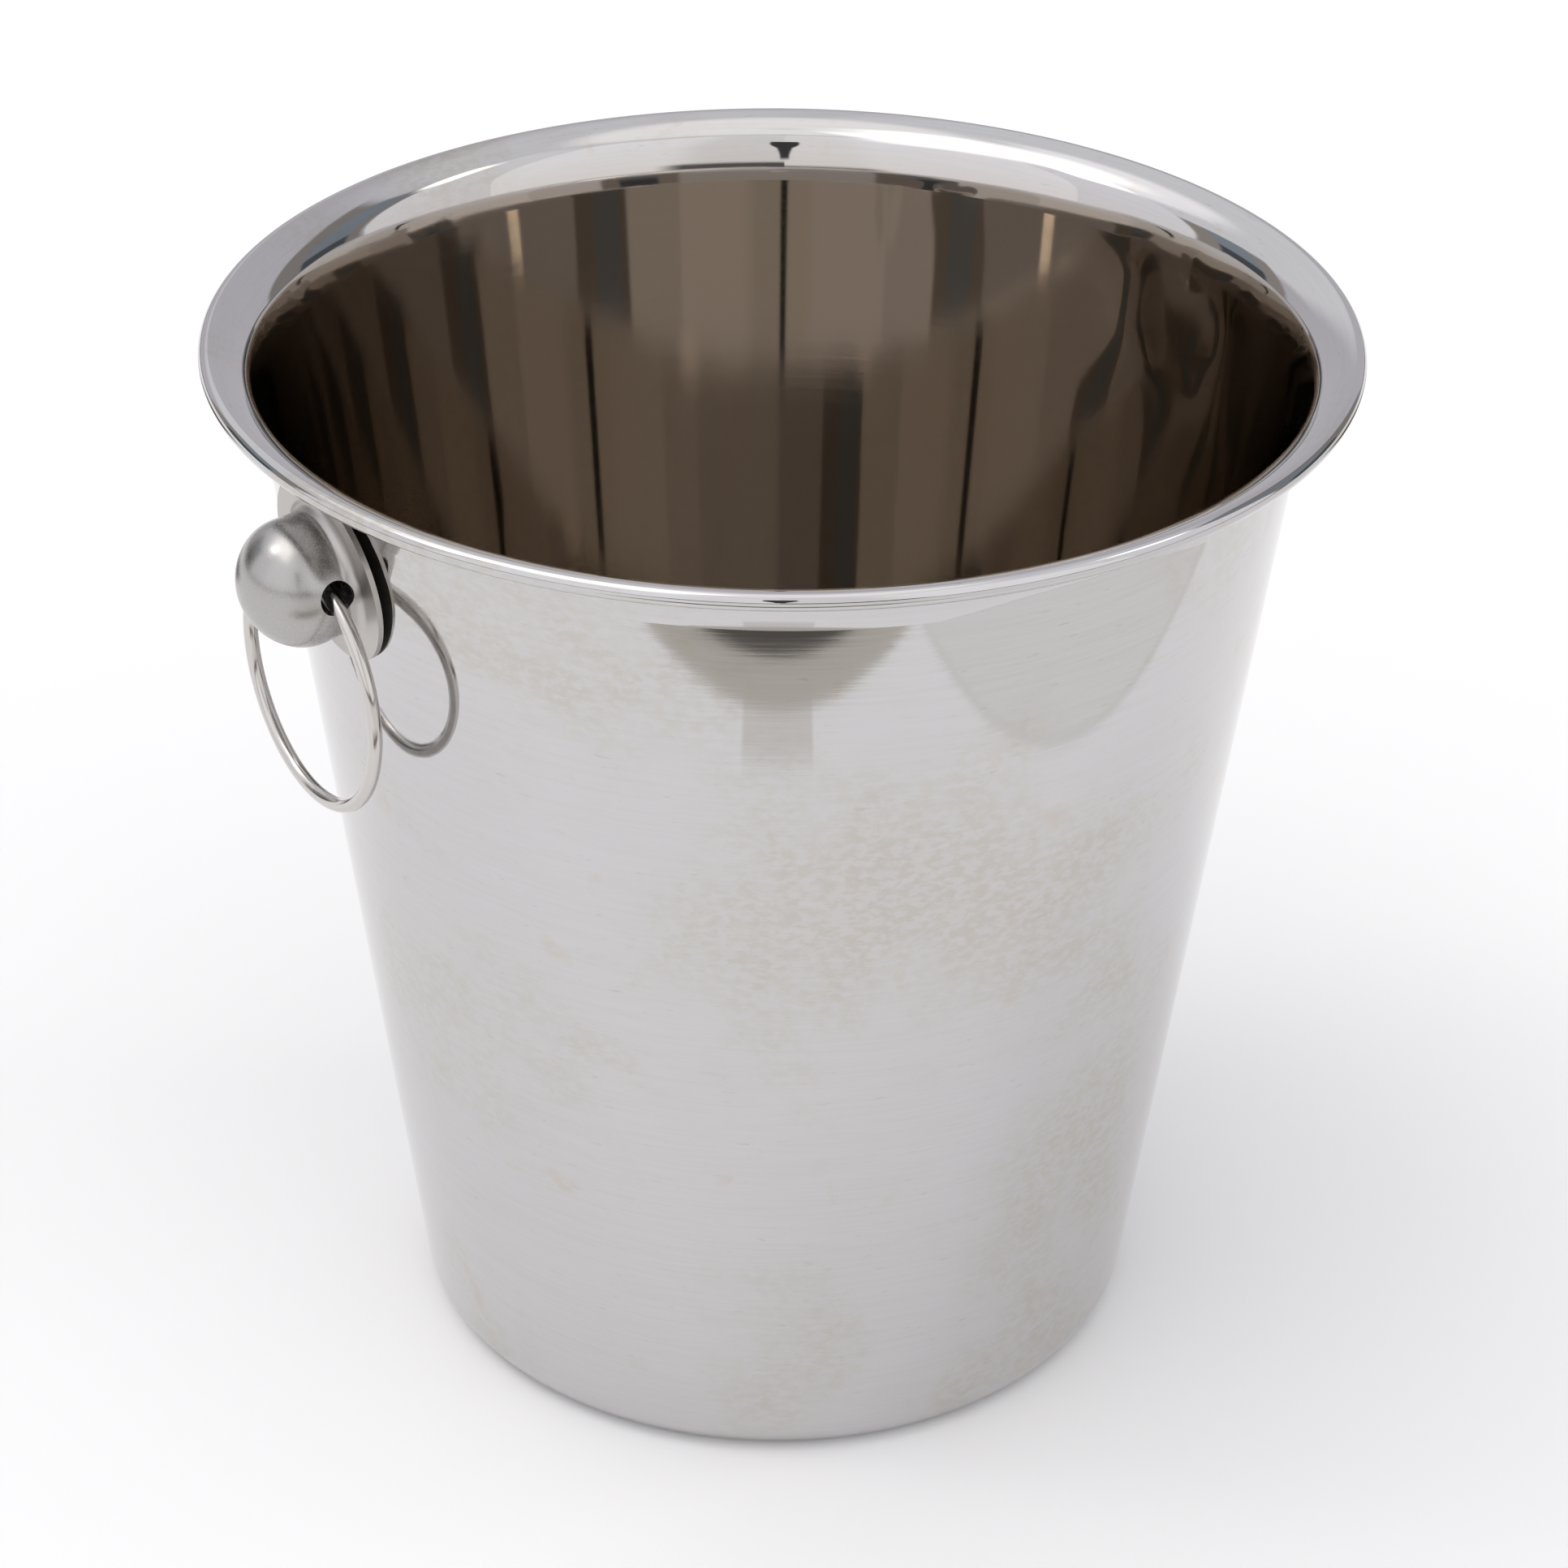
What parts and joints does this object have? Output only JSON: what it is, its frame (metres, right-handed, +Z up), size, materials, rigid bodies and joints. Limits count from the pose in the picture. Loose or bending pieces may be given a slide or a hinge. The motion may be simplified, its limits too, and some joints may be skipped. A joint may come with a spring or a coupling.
{
  "type": "champagne bucket",
  "caption": "Polished steel champagne bucket with a tapered wall and a flared, rolled lip, and hollow knobs that carry hanging ring handles.",
  "frame": {"origin": "centre of the base's underside, on the bucket's axis", "axes": "+Z up along the bucket's axis; the handles stand at +X and -X"},
  "size_m": [0.2216, 0.21, 0.2034],
  "materials": {
    "bucket_steel": "polished, with very fine horizontal brushing",
    "knob_steel": "satin, slightly grainy stamping",
    "ring_steel": "polished round wire"
  },
  "bodies": {
    "bucket": {"bucket_shell": "bucket_steel", "knob_left": "knob_steel", "knob_right": "knob_steel"},
    "handle_left": {"ring_left": "ring_steel"},
    "handle_right": {"ring_right": "ring_steel"}
  },
  "joints": [
    {"name": "ring_left_swing", "type": "hinge", "parent": "bucket", "child": "handle_left", "pos_m": [-0.09866, 0, 0.17926], "axis": [0, 1, 0], "range_deg": [-12.5, 164]},
    {"name": "ring_right_swing", "type": "hinge", "parent": "bucket", "child": "handle_right", "pos_m": [0.09866, 0, 0.17926], "axis": [0, -1, 0], "range_deg": [-12.5, 164]}
  ]
}
